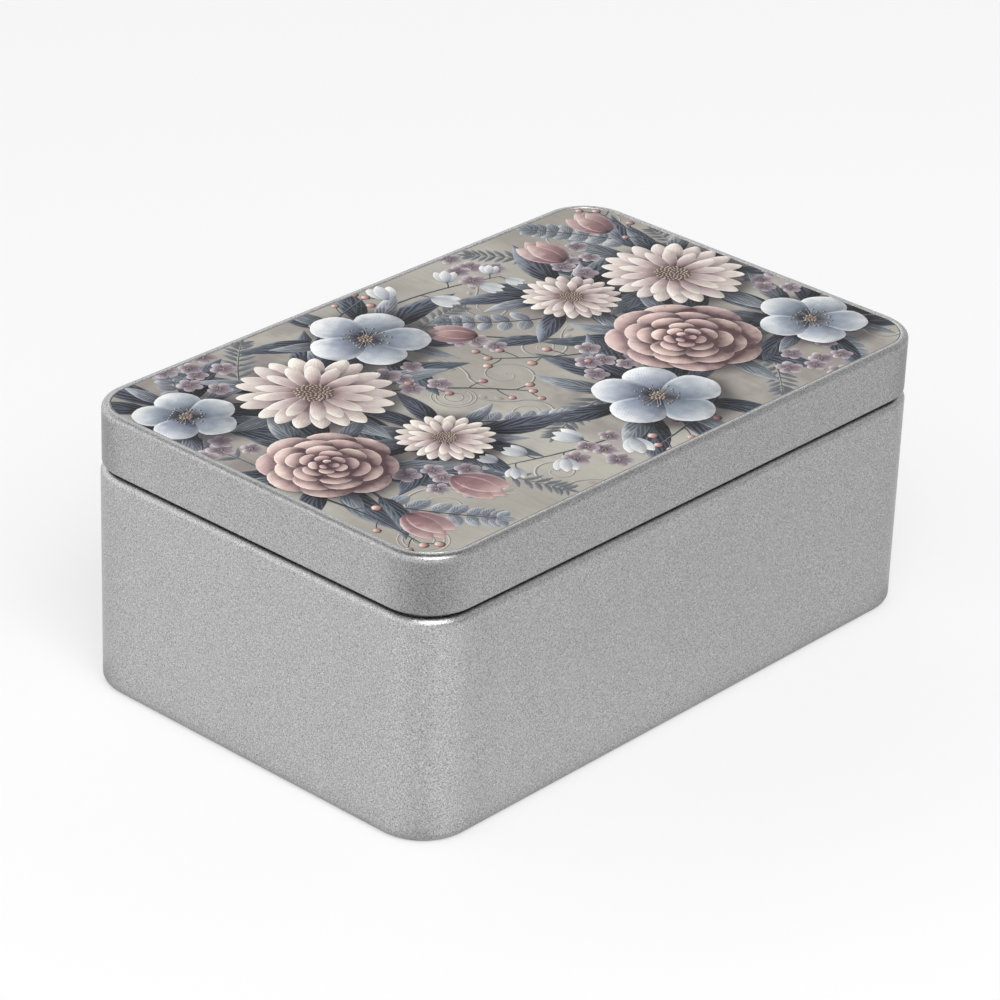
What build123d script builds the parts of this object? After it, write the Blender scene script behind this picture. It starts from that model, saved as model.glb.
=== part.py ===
from build123d import *

import os

# Rectangular storage tin with a lift-off slip lid, pressed and rolled from thin tinplate.
# Millimetres. The origin is the middle of the footprint on the table, +X runs along the long side,
# +Z is up. An inset is a distance in from the outer face of the body wall, measured square to it.
# A tight fold has no radius of its own, and its inner corner is square.

# Overall form
length = 200.0
width = 128.5
height = 82.8
corner_radius = 15.0
sheet = 0.3
curl_turn = 240

# Body wall: rounded foot, land that it stands on, and the lip that carries the bottom
foot_radius = 2.8
foot_land = 2.3
lip_height = 2.0

# Body wall: shoulder, neck under the lid, and the curled mouth
shoulder_radius = 2.2
mouth_curl_radius = 0.9

# Locked side seam, in the middle of the back
seam_fold_width = 4.0
seam_fold_thickness = 0.6
seam_line_width = 0.3
seam_line_depth = 0.15
seam_end_gap = 1.2

# Bottom, hooked over the lip of the wall
bottom_height = 1.2
hook_clearance = 0.1
hook_foot_gap = 0.15

# Lid
lid_depth = 16.9
lid_inset = 0.35
lid_curl_radius = 1.0
rim_radius = 1.5
rim_land = 0.45
crown_radius = 0.4

# Fits between the lid and the body
shoulder_gap = 0.8
neck_clearance = 0.35
lid_seat_gap = 0.3

# Printed plate and the sheet that sticks it down
adhesive_thickness = 0.1
adhesive_margin = 0.5
plate_thickness = 0.4
plate_clearance = 0.15
plate_sink = 0.15
plate_edge_chamfer = 0.1

# Heights and insets that follow from the sizes above
lid_edge_z = height - lid_depth
shoulder_z = lid_edge_z - shoulder_gap
neck_inset = lid_inset + 2 * lid_curl_radius + neck_clearance
panel_recess = plate_sink + plate_thickness + adhesive_thickness
panel_z = height - panel_recess
mouth_z = panel_z - sheet - lid_seat_gap
lip_inset = foot_radius + foot_land
bottom_inset = lip_inset + hook_clearance
hook_inset = lip_inset - sheet - hook_clearance
panel_inset = lid_inset + rim_radius + rim_land + crown_radius
plate_inset = panel_inset + plate_clearance
adhesive_inset = plate_inset + adhesive_margin


def bend(line, radius, turn):
    """Bend that carries on from the end of a line, turning left where turn is positive."""
    return JernArc(start=line @ 1, tangent=line % 1, radius=radius, arc_size=turn)


def run(line, distance):
    """Straight run that carries on from the end of a line or bend."""
    return PolarLine(start=line @ 1, length=distance, direction=line % 1)


def x_at(inset):
    """Place along X of a face that lies inset inside the outer face of the end wall."""
    return length / 2 - inset


def back_outline():
    """Outer face of the body wall, seen from above, round the back from end to end."""
    with BuildLine() as outline:
        FilletPolyline(
            (length / 2, 0),
            (length / 2, width / 2),
            (-length / 2, width / 2),
            (-length / 2, 0),
            radius=corner_radius,
        )
    return outline.wires()[0]


# Body wall. The outer face of its section is drawn from the lip, under the foot, up the wall,
# over the shoulder and up the neck to the curl. The sheet's thickness lies to the left.
with BuildPart() as body_wall:
    with BuildSketch(Plane.XZ):
        with BuildLine():
            lip = Line((x_at(lip_inset), lip_height), (x_at(lip_inset), 0))
            land = Line(lip @ 1, (x_at(foot_radius), 0))
            foot = bend(land, foot_radius, 90)
            wall = run(foot, shoulder_z - shoulder_radius - foot_radius)
            shoulder = bend(wall, shoulder_radius, 90)
            ledge = run(shoulder, neck_inset - shoulder_radius)
            neck = Line(ledge @ 1, (x_at(neck_inset), mouth_z - mouth_curl_radius))
            bend(neck, mouth_curl_radius, curl_turn)
            offset(amount=sheet, side=Side.LEFT)
        make_face()
    sweep(path=back_outline())
    mirror(about=Plane.XZ)

    # Folded lock inside the back wall and neck, where the two ends of the band are hooked together
    wall_fold = (foot_radius + seam_end_gap, shoulder_z - shoulder_radius - seam_end_gap)
    neck_fold = (shoulder_z + seam_end_gap, mouth_z - 2 * mouth_curl_radius - seam_end_gap)
    for (low, high), inset in ((wall_fold, 0), (neck_fold, neck_inset)):
        with BuildSketch(Plane.XZ.offset(inset + sheet - width / 2)):
            with Locations((0, (low + high) / 2)):
                Rectangle(seam_fold_width, high - low)
        extrude(amount=seam_fold_thickness)
        with BuildSketch(Plane.XZ.offset(inset - width / 2)):
            with Locations((0, (low + high) / 2)):
                Rectangle(seam_line_width, high - low)
        extrude(amount=seam_line_depth, mode=Mode.SUBTRACT)

body_wall.part.label = "body_wall"

# Bottom. A flat panel stands just above the table, its edge turned up along the lip of the wall,
# hooked over it and tucked down behind it.
with BuildPart() as bottom_panel:
    with BuildSketch(Plane.XZ):
        with BuildLine():
            Polyline(
                (x_at(bottom_inset), bottom_height),
                (x_at(bottom_inset), lip_height + hook_clearance),
                (x_at(hook_inset), lip_height + hook_clearance),
                (x_at(hook_inset), sheet + hook_foot_gap),
            )
            offset(amount=sheet, side=Side.LEFT)
        make_face()
    sweep(path=back_outline())
    mirror(about=Plane.XZ)
    with BuildSketch(Plane.XY.offset(bottom_height)):
        RectangleRounded(
            length - 2 * bottom_inset,
            width - 2 * bottom_inset,
            corner_radius - bottom_inset,
        )
    extrude(amount=sheet)

bottom_panel.part.label = "bottom_panel"

# Lid. Its outer face is drawn from the sunk panel, up to the flat rim, over the rounded top edge
# and down the skirt to the curl. The sheet's thickness lies to the right.
with BuildPart() as lid_shell:
    with BuildSketch(Plane.XZ):
        with BuildLine():
            step = Line(
                (x_at(panel_inset), panel_z - sheet),
                (x_at(panel_inset), height - crown_radius),
            )
            crown = bend(step, crown_radius, -90)
            rim = run(crown, rim_land)
            top_edge = bend(rim, rim_radius, -90)
            skirt = run(top_edge, lid_depth - rim_radius - lid_curl_radius)
            bend(skirt, lid_curl_radius, -curl_turn)
            offset(amount=sheet, side=Side.RIGHT)
        make_face()
    sweep(path=back_outline())
    mirror(about=Plane.XZ)
    with BuildSketch(Plane.XY.offset(panel_z - sheet)):
        RectangleRounded(
            length - 2 * panel_inset,
            width - 2 * panel_inset,
            corner_radius - panel_inset,
        )
    extrude(amount=sheet)

lid_shell.part.label = "lid_shell"

# Double-sided adhesive sheet on the sunk panel
with BuildPart() as adhesive_sheet:
    with BuildSketch(Plane.XY.offset(panel_z)):
        RectangleRounded(
            length - 2 * adhesive_inset,
            width - 2 * adhesive_inset,
            corner_radius - adhesive_inset,
        )
    extrude(amount=adhesive_thickness)

adhesive_sheet.part.label = "adhesive_sheet"

# Printed aluminium plate, with its upper edge broken
with BuildPart() as print_plate:
    with BuildSketch(Plane.XY.offset(panel_z + adhesive_thickness)):
        RectangleRounded(
            length - 2 * plate_inset,
            width - 2 * plate_inset,
            corner_radius - plate_inset,
        )
    extrude(amount=plate_thickness)
    chamfer(print_plate.faces().sort_by(Axis.Z)[-1].edges(), length=plate_edge_chamfer)

print_plate.part.label = "print_plate"

os.makedirs("parts", exist_ok=True)
export_step(body_wall.part, "parts/body_wall.step")
export_step(bottom_panel.part, "parts/bottom_panel.step")
export_step(lid_shell.part, "parts/lid_shell.step")
export_step(adhesive_sheet.part, "parts/adhesive_sheet.step")
export_step(print_plate.part, "parts/print_plate.step")
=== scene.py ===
"""Looks of a rectangular slip-lid storage tin: its finishes, printed plate, camera and studio."""

import logging
import math
from collections.abc import Callable
from dataclasses import dataclass
from enum import Enum
from random import Random
from typing import ClassVar

import bmesh
import bpy
from mathutils import Matrix, Vector


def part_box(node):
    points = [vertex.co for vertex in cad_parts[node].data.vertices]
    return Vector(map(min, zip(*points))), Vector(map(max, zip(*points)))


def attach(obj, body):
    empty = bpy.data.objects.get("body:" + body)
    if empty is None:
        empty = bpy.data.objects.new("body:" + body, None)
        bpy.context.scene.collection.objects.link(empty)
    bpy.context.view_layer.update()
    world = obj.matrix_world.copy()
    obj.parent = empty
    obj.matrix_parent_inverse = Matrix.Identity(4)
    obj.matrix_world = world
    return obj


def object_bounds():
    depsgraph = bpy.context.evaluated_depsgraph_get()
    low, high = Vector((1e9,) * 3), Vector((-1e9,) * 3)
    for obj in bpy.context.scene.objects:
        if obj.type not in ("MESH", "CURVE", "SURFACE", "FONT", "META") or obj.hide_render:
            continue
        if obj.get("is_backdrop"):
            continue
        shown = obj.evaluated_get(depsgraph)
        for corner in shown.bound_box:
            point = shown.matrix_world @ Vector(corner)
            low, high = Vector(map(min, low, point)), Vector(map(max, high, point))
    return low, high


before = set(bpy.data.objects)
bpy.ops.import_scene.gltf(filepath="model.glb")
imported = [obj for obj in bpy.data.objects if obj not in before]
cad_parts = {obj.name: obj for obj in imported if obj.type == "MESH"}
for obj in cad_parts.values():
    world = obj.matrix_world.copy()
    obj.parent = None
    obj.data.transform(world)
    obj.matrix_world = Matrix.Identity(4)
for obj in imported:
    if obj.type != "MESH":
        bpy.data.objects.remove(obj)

LOG = logging.getLogger("tin")
MM = 0.001
STEP = 0.0015
RELIEF = 0.0002
GOLDEN_ANGLE = 137.508
FLOAT = "NodeSocketFloat"
COLOUR = "NodeSocketColor"

Colour = tuple[float, float, float]
Span = tuple[float, float]
Socket = bpy.types.NodeSocket
Material = bpy.types.Material
Sockets = bpy.types.bpy_prop_collection


def linear(colour: Colour) -> tuple[float, float, float, float]:
    """Turns a display colour into the linear one that shaders take.

    Args:
        colour: Red, green and blue as they look on a screen, each from 0 to 1.

    Returns:
        The linear colour with an alpha of 1.
    """
    channels = [c / 12.92 if c <= 0.04045 else ((c + 0.055) / 1.055) ** 2.4 for c in colour]
    return (*channels, 1.0)


class Nodes:
    """Short ways to add and link nodes in one node tree."""

    def __init__(self, tree: bpy.types.NodeTree) -> None:
        """Keeps the tree that the nodes go in."""
        self.tree = tree

    def add(self, kind: str, inputs: dict | None = None, **settings: object) -> bpy.types.Node:
        """Adds a node, sets its properties and fills its inputs.

        Args:
            kind: The node's type name without the ShaderNode prefix.
            inputs: Values or output sockets by input name or number.
            **settings: Properties of the node.

        Returns:
            The new node.
        """
        prefix = "" if kind.startswith("NodeGroup") else "ShaderNode"
        node = self.tree.nodes.new(prefix + kind)
        for name, value in settings.items():
            setattr(node, name, value)
        for key, value in (inputs or {}).items():
            self.fill(node.inputs[key], value)
        return node

    def fill(self, socket: Socket, value: object) -> None:
        """Links an output to a socket, or sets the socket's own value.

        Args:
            socket: The input socket.
            value: An output socket, or a plain value.
        """
        if isinstance(value, Socket):
            self.tree.links.new(value, socket)
        else:
            socket.default_value = value

    def maths(self, operation: str, *values: object) -> Socket:
        """Adds a Math node and returns its result."""
        return self.add("Math", dict(enumerate(values)), operation=operation).outputs[0]

    def vector(self, operation: str, *values: object) -> Sockets:
        """Adds a Vector Math node and returns its outputs."""
        return self.add("VectorMath", dict(enumerate(values)), operation=operation).outputs

    def noise(self, scale: float, detail: float = 2.0, vector: Socket | None = None) -> Socket:
        """Adds noise on Object coordinates, or on a given vector, and returns its value."""
        place = vector or self.add("TexCoord").outputs["Object"]
        return self.add("TexNoise", {"Vector": place, "Scale": scale, "Detail": detail}).outputs["Fac"]

    def blend(self, factor: object, first: object, second: object, how: str = "MIX") -> Socket:
        """Mixes two colours and returns the result."""
        inputs = {0: factor, 6: first, 7: second}
        return self.add("Mix", inputs, data_type="RGBA", blend_type=how).outputs[2]

    def remap(self, value: object, low: object, high: object, to_low: float, to_high: float,
              smooth: bool = False) -> Socket:
        """Maps a value from one range to another, clamped, and returns it."""
        inputs = {0: value, 1: low, 2: high, 3: to_low, 4: to_high}
        how = "SMOOTHSTEP" if smooth else "LINEAR"
        return self.add("MapRange", inputs, interpolation_type=how).outputs[0]


class Surface(Nodes):
    """A new material, its nodes and its shader, which a finish fills in."""

    def __init__(self, name: str) -> None:
        """Makes the material.

        Args:
            name: The material's name.
        """
        self.material = bpy.data.materials.new(name)
        self.material.use_nodes = True
        super().__init__(self.material.node_tree)
        self.shader = self.material.node_tree.nodes["Principled BSDF"]

    def done(self, colour: Socket, roughness: Socket, height: Socket | None = None,
             bump: float = 0.0) -> Material:
        """Links what changes over the surface to the shader.

        Args:
            colour: The surface's colour.
            roughness: Its roughness.
            height: Its fine relief, from 0 to 1, or None where it has none.
            bump: How strongly the relief shows.

        Returns:
            The finished material.
        """
        self.fill(self.shader.inputs["Base Color"], colour)
        self.fill(self.shader.inputs["Roughness"], roughness)
        if height:
            relief = self.add("Bump", {"Height": height, "Strength": bump, "Distance": RELIEF})
            self.fill(self.shader.inputs["Normal"], relief.outputs["Normal"])
        return self.material


class SharedEffect:
    """A shader group that is built once and placed in each material with that material's own values."""

    name: ClassVar[str]
    takes: ClassVar[dict[str, str]]
    gives: ClassVar[dict[str, str]]

    def wire(self, nodes: Nodes, given: Sockets) -> dict[str, Socket]:
        """Adds the nodes inside the group, fed by its inputs, and returns its results by name."""
        raise NotImplementedError

    def tree(self) -> bpy.types.NodeTree:
        """Builds the group, or finds it where it is there already.

        Returns:
            The group's node tree.
        """
        if self.name in bpy.data.node_groups:
            return bpy.data.node_groups[self.name]
        tree = bpy.data.node_groups.new(self.name, "ShaderNodeTree")
        for name, kind in self.takes.items():
            tree.interface.new_socket(name, in_out="INPUT", socket_type=kind)
        for name, kind in self.gives.items():
            tree.interface.new_socket(name, in_out="OUTPUT", socket_type=kind)
        nodes = Nodes(tree)
        nodes.add("NodeGroupOutput", self.wire(nodes, nodes.add("NodeGroupInput").outputs))
        return tree

    def place(self, nodes: Nodes, values: dict[str, object]) -> Sockets:
        """Places the group in a material with its values and returns its outputs."""
        return nodes.add("Group", values, node_tree=self.tree()).outputs


@dataclass(frozen=True)
class MetalGrain(SharedEffect):
    """Shader group: the fine grain of a satin lacquer over rolled sheet.

    Its Tone is a grey near 1 to multiply the colour by, with painted glints in it, Shine a value to add to
    the roughness, and Height feeds a Bump node. The pattern is turned, so that no flat wall lies along its
    cells.
    """

    name = "metal_grain"
    takes = {"Contrast": FLOAT}
    gives = dict.fromkeys(("Tone", "Shine", "Height"), FLOAT)
    fine_scale: float = 3461.0
    fine_share: float = 0.7
    clump_scale: float = 2213.0
    cloud_scale: float = 26.0
    cloud_edges: Span = (0.3, 0.7)
    tone_drift: float = 0.015
    shine_drift: float = 0.02
    glint_scale: float = 3877.0
    glint_edges: Span = (0.60, 0.74)
    glint: float = 0.085
    turn: tuple[float, float, float] = (0.5, 0.6, 0.4)

    def wire(self, nodes: Nodes, given: Sockets) -> dict[str, Socket]:
        """Adds the nodes inside the group.

        Args:
            nodes: The group's nodes.
            given: The group's inputs.

        Returns:
            The group's results by name.
        """
        place = nodes.add("TexCoord").outputs["Object"]
        turned = nodes.add("Mapping", {"Vector": place, "Rotation": self.turn}).outputs[0]
        fine = nodes.noise(self.fine_scale, 1.0, turned)
        clump = nodes.maths("MULTIPLY", nodes.noise(self.clump_scale, 2.0, turned), 1 - self.fine_share)
        grain = nodes.maths("MULTIPLY_ADD", fine, self.fine_share, clump)
        swing = nodes.maths("MULTIPLY", nodes.maths("SUBTRACT", grain, 0.5), given["Contrast"])
        cloud = nodes.noise(self.cloud_scale, 3.0, turned)
        drift = nodes.remap(cloud, *self.cloud_edges, -self.tone_drift, self.tone_drift)
        shine = nodes.remap(cloud, *self.cloud_edges, -self.shine_drift, self.shine_drift)
        # painted glints: rare bright specks painted into the colour's tone
        painted_glint = nodes.noise(self.glint_scale, 0.0, turned)
        painted_glint = nodes.remap(painted_glint, *self.glint_edges, 0.0, self.glint, smooth=True)
        level = nodes.maths("MULTIPLY_ADD", painted_glint, given["Contrast"], 1.0)
        tone = nodes.maths("ADD", nodes.maths("ADD", swing, drift), level)
        return {"Tone": tone, "Shine": shine, "Height": grain}


class RoundTheCorner(SharedEffect):
    """Shader group: how far a place on the wall lies from the middle of one of its rounded corners.

    The distance is in metres, taken round the wall, and above 0 towards the long wall. It is a metre more
    on the two walls that don't touch the corner.
    """

    name = "round_the_corner"
    takes = dict.fromkeys(("Side X", "Side Y", "Half Length", "Half Width", "Radius"), FLOAT)
    gives = {"Distance": FLOAT}

    def wire(self, nodes: Nodes, given: Sockets) -> dict[str, Socket]:
        """Adds the nodes inside the group.

        Args:
            nodes: The group's nodes.
            given: The group's inputs.

        Returns:
            The group's result by name.
        """
        place = nodes.add("SeparateXYZ", {0: nodes.add("TexCoord").outputs["Object"]}).outputs
        past = []
        for axis, half in (("X", "Half Length"), ("Y", "Half Width")):
            middle = nodes.maths("SUBTRACT", given["Radius"], given[half])
            past.append(nodes.maths("MULTIPLY_ADD", place[axis], given["Side " + axis], middle))
        bent = [nodes.maths("MAXIMUM", value, 0.0) for value in past]
        angle = nodes.maths("SUBTRACT", nodes.maths("ARCTAN2", bent[1], bent[0]), math.pi / 4)
        flat = [nodes.maths("MINIMUM", value, 0.0) for value in past]
        flat = nodes.maths("SUBTRACT", flat[1], flat[0])
        elsewhere = nodes.maths("LESS_THAN", nodes.maths("MAXIMUM", *past), 0.0)
        flat = nodes.maths("ADD", flat, elsewhere)
        return {"Distance": nodes.maths("MULTIPLY_ADD", angle, given["Radius"], flat)}


@dataclass(frozen=True)
class Streak:
    """A soft upright streak: its distance from the corner's middle and its reach, in millimetres, and its
    lift, which is how much lighter it is."""

    # a lift above 0 is painted light, below 0 painted shade
    place: float
    reach: float
    lift: float


Streaks = tuple[tuple[int, int, tuple[Streak, ...]], ...]


@dataclass(frozen=True)
class PaintedCornerStreaks:
    """Painted light and painted shade as soft upright streaks on one rounded corner and beside it.

    They fade out upwards, between two heights.
    """

    side_x: float
    side_y: float
    half_length: float
    half_width: float
    streaks: tuple[Streak, ...]
    fade: Span
    radius: float = 15.0 * MM

    def tone(self, nodes: Nodes) -> Socket:
        """Adds the nodes.

        Args:
            nodes: The material's nodes.

        Returns:
            A grey to multiply the colour by, which is 1 away from the corner and above the fade.
        """
        values = {"Side X": self.side_x, "Side Y": self.side_y, "Half Length": self.half_length,
                  "Half Width": self.half_width, "Radius": self.radius}
        away = RoundTheCorner().place(nodes, values)["Distance"]
        total = 0.0
        # each streak paints its lift into the colour: painted light where above 0, painted shade where below
        for streak in self.streaks:
            off = nodes.maths("ABSOLUTE", nodes.maths("SUBTRACT", away, streak.place * MM))
            level = nodes.remap(off, 0.0, streak.reach * MM, streak.lift, 0.0, smooth=True)
            total = nodes.maths("ADD", level, total)
        height = nodes.add("SeparateXYZ", {0: nodes.add("TexCoord").outputs["Object"]}).outputs["Z"]
        below = nodes.remap(height, *self.fade, 1.0, 0.0, smooth=True)
        return nodes.maths("MULTIPLY_ADD", total, below, 1.0)


@dataclass(frozen=True)
class PaintedRimLight:
    """Painted light on the inner part of the lid's rim: a brighter tone there.

    It grows with the distance in from the lid's outer face, and upwards from the sunk panel.
    """

    half_length: float
    half_width: float
    radius: float = 14.65 * MM
    insets: Span = (1.25 * MM, 2.1 * MM)
    heights: Span = (82.15 * MM, 82.4 * MM)
    lift: float = 0.38

    def tone(self, nodes: Nodes) -> Socket:
        """Adds the nodes.

        Args:
            nodes: The material's nodes.

        Returns:
            A grey to multiply the colour by, which is 1 except on the inner part of the rim.
        """
        place = nodes.add("TexCoord").outputs["Object"]
        flat = nodes.vector("MULTIPLY", place, (1.0, 1.0, 0.0))[0]
        corner = (self.half_length - self.radius, self.half_width - self.radius, 0.0)
        past = nodes.vector("SUBTRACT", nodes.vector("ABSOLUTE", flat)[0], corner)[0]
        past = nodes.vector("MAXIMUM", past, (0.0, 0.0, 0.0))[0]
        inset = nodes.maths("SUBTRACT", self.radius, nodes.vector("LENGTH", past)["Value"])
        # painted light: brighter towards the rim's inner part and upwards from the sunk panel
        inner = nodes.remap(inset, *self.insets, 0.0, self.lift, smooth=True)
        height = nodes.add("SeparateXYZ", {0: place}).outputs["Z"]
        return nodes.maths("MULTIPLY_ADD", inner, nodes.remap(height, *self.heights, 0.0, 1.0), 1.0)


@dataclass(frozen=True)
class SatinTin:
    """Satin silver lacquer on tinplate, with a fine grain, painted glints and, where tones are given,
    painted light and shade.
    """

    name: str = "satin_tin"
    colour: Colour = (0.70, 0.70, 0.70)
    roughness: float = 0.30
    contrast: float = 2.9
    bump: float = 0.5
    tones: tuple[PaintedCornerStreaks | PaintedRimLight, ...] = ()

    def material(self) -> Material:
        """Builds the material.

        Returns:
            The finished material.
        """
        surface = Surface(self.name)
        grain = MetalGrain().place(surface, {"Contrast": self.contrast})
        colour = surface.blend(1.0, linear(self.colour), grain["Tone"], "MULTIPLY")
        # the tones paint light and shade into the colour: streaks at the corners and a lighter inner rim
        for extra in self.tones:
            colour = surface.blend(1.0, colour, extra.tone(surface), "MULTIPLY")
        surface.shader.inputs["Metallic"].default_value = 1.0
        shine = surface.maths("ADD", grain["Shine"], self.roughness)
        return surface.done(colour, shine, grain["Height"], self.bump)


@dataclass(frozen=True)
class AdhesiveFilm:
    """Thin, slightly cloudy double-sided film."""

    name: str = "adhesive_film"
    colour: Colour = (0.86, 0.86, 0.83)
    cloudy: Colour = (0.80, 0.80, 0.76)
    cloud_scale: float = 160.0
    roughness: Span = (0.5, 0.6)

    def material(self) -> Material:
        """Builds the material.

        Returns:
            The finished material.
        """
        surface = Surface(self.name)
        clouds = surface.noise(self.cloud_scale, 3.0)
        clouds = surface.remap(clouds, 0.35, 0.65, 0.0, 1.0, smooth=True)
        colour = surface.blend(clouds, linear(self.colour), linear(self.cloudy))
        return surface.done(colour, surface.remap(clouds, 0.0, 1.0, *self.roughness))


@dataclass(frozen=True)
class PaintedBlade(SharedEffect):
    """Shader group: a petal, leaf or line painted with light and shade, with veins along or across it.

    Fan is the number of veins that run along it, Chevron the number that slant up from its midrib, and Rim
    how bright its edges are.
    """

    name = "painted_blade"
    takes = (dict.fromkeys(("Dark", "Base", "Tip", "Bright", "Vein"), COLOUR)
             | dict.fromkeys(("Fan", "Chevron", "Vein Depth", "Rim"), FLOAT))
    gives = {"Colour": COLOUR, "Height": FLOAT}
    wobble_scale: float = 500.0
    wobble: float = 0.5
    slant: float = -0.4
    midrib: Span = (0.03, 0.14)
    tip_from: Span = (0.2, 0.95)
    rim_from: Span = (0.72, 1.0)
    brush_scale: float = 330.0
    brush: float = 0.36
    shadow: Span = (0.05, 0.62)
    gleam: Span = (0.64, 1.0)
    gleam_share: float = 0.85
    fleck_scale: float = 2600.0
    fleck: float = 0.2
    value: Span = (0.22, 1.02)
    hue: Span = (0.03, 0.485)
    saturation: float = 0.85
    tooth_scale: float = 1400.0

    def wire(self, nodes: Nodes, given: Sockets) -> dict[str, Socket]:
        """Adds the nodes inside the group.

        Args:
            nodes: The group's nodes.
            given: The group's inputs.

        Returns:
            The group's results by name.
        """
        place = nodes.add("SeparateXYZ", {0: nodes.add("UVMap", uv_map="print").outputs[0]}).outputs
        light = nodes.add("Attribute", attribute_name="light").outputs["Fac"]
        tint = nodes.add("Attribute", attribute_name="tint").outputs["Fac"]
        side = nodes.maths("ABSOLUTE", nodes.maths("MULTIPLY_ADD", place["X"], 2.0, -1.0))
        veins = self.veins(nodes, given, place, side)
        tip = nodes.remap(place["Y"], *self.tip_from, 0.0, 1.0, smooth=True)
        body = nodes.blend(tip, given["Base"], given["Tip"])
        body = nodes.blend(veins, body, given["Vein"])
        rim = nodes.remap(side, *self.rim_from, 0.0, 1.0, smooth=True)
        rim = nodes.maths("MULTIPLY", rim, given["Rim"])
        body = nodes.blend(rim, body, given["Bright"])
        brush = self.centred(nodes, nodes.noise(self.brush_scale, 4.0), self.brush)
        lit = nodes.maths("ADD", light, brush)
        body = nodes.blend(nodes.remap(lit, *self.shadow, 0.0, 1.0), given["Dark"], body)
        body = nodes.blend(nodes.remap(lit, *self.gleam, 0.0, self.gleam_share), body, given["Bright"])
        fleck = self.centred(nodes, nodes.noise(self.fleck_scale, 1.0), self.fleck)
        value = nodes.maths("ADD", nodes.maths("MULTIPLY_ADD", tint, *self.value), fleck)
        hue = nodes.maths("MULTIPLY_ADD", tint, *self.hue)
        toned = {"Hue": hue, "Saturation": self.saturation, "Value": value, "Color": body}
        colour = nodes.add("HueSaturation", toned).outputs[0]
        height = nodes.maths("MULTIPLY_ADD", veins, -1.0, nodes.noise(self.tooth_scale, 2.0))
        return {"Colour": colour, "Height": height}

    def centred(self, nodes: Nodes, noise: Socket, swing: float) -> Socket:
        """Turns noise into a value that swings about 0 by half of the given amount each way."""
        return nodes.maths("MULTIPLY_ADD", noise, swing, -swing / 2)

    def veins(self, nodes: Nodes, given: Sockets, place: Sockets, side: Socket) -> Socket:
        """Adds the nodes that draw the veins and the midrib.

        Args:
            nodes: The group's nodes.
            given: The group's inputs.
            place: The place across and along the blade, each from 0 to 1.
            side: The distance from the midrib, from 0 to 1.

        Returns:
            How strongly a vein shows, from 0 to 1.
        """
        wobble = self.centred(nodes, nodes.noise(self.wobble_scale, 2.0), self.wobble)
        fan = nodes.maths("MULTIPLY", nodes.maths("SUBTRACT", place["X"], 0.5), given["Fan"])
        slant = nodes.maths("MULTIPLY_ADD", side, self.slant, place["Y"])
        phase = nodes.maths("MULTIPLY_ADD", slant, given["Chevron"], nodes.maths("ADD", fan, wobble))
        wave = nodes.maths("COSINE", nodes.maths("MULTIPLY", phase, math.tau))
        line = nodes.remap(wave, 0.1, 1.0, 0.0, 1.0, smooth=True)
        midrib = nodes.remap(side, *self.midrib, 1.0, 0.0, smooth=True)
        midrib = nodes.maths("MULTIPLY", midrib, nodes.maths("MINIMUM", given["Chevron"], 1.0))
        return nodes.maths("MULTIPLY", nodes.maths("MAXIMUM", line, midrib), given["Vein Depth"])


@dataclass(frozen=True)
class PrintPaint:
    """Satin print in one colour family, from its shaded to its lit colour."""

    dark: Colour
    base: Colour
    tip: Colour
    bright: Colour
    vein: Colour = (0.5, 0.5, 0.5)
    fan: float = 0.0
    chevron: float = 0.0
    depth: float = 0.0
    rim: float = 0.0
    roughness: Span = (0.38, 0.46)
    shine_scale: float = 90.0
    specular: float = 0.12
    bump: float = 0.45

    def material(self, name: str) -> Material:
        """Builds the material under a name.

        Args:
            name: The material's name.

        Returns:
            The finished material.
        """
        surface = Surface(name)
        colours = {"Dark": self.dark, "Base": self.base, "Tip": self.tip, "Bright": self.bright,
                   "Vein": self.vein}
        values = {key: linear(colour) for key, colour in colours.items()}
        values |= {"Fan": self.fan, "Chevron": self.chevron, "Vein Depth": self.depth, "Rim": self.rim}
        paint = PaintedBlade().place(surface, values)
        shine = surface.remap(surface.noise(self.shine_scale), 0.3, 0.7, *self.roughness)
        surface.shader.inputs["Specular IOR Level"].default_value = self.specular
        return surface.done(paint["Colour"], shine, paint["Height"], self.bump)


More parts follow.
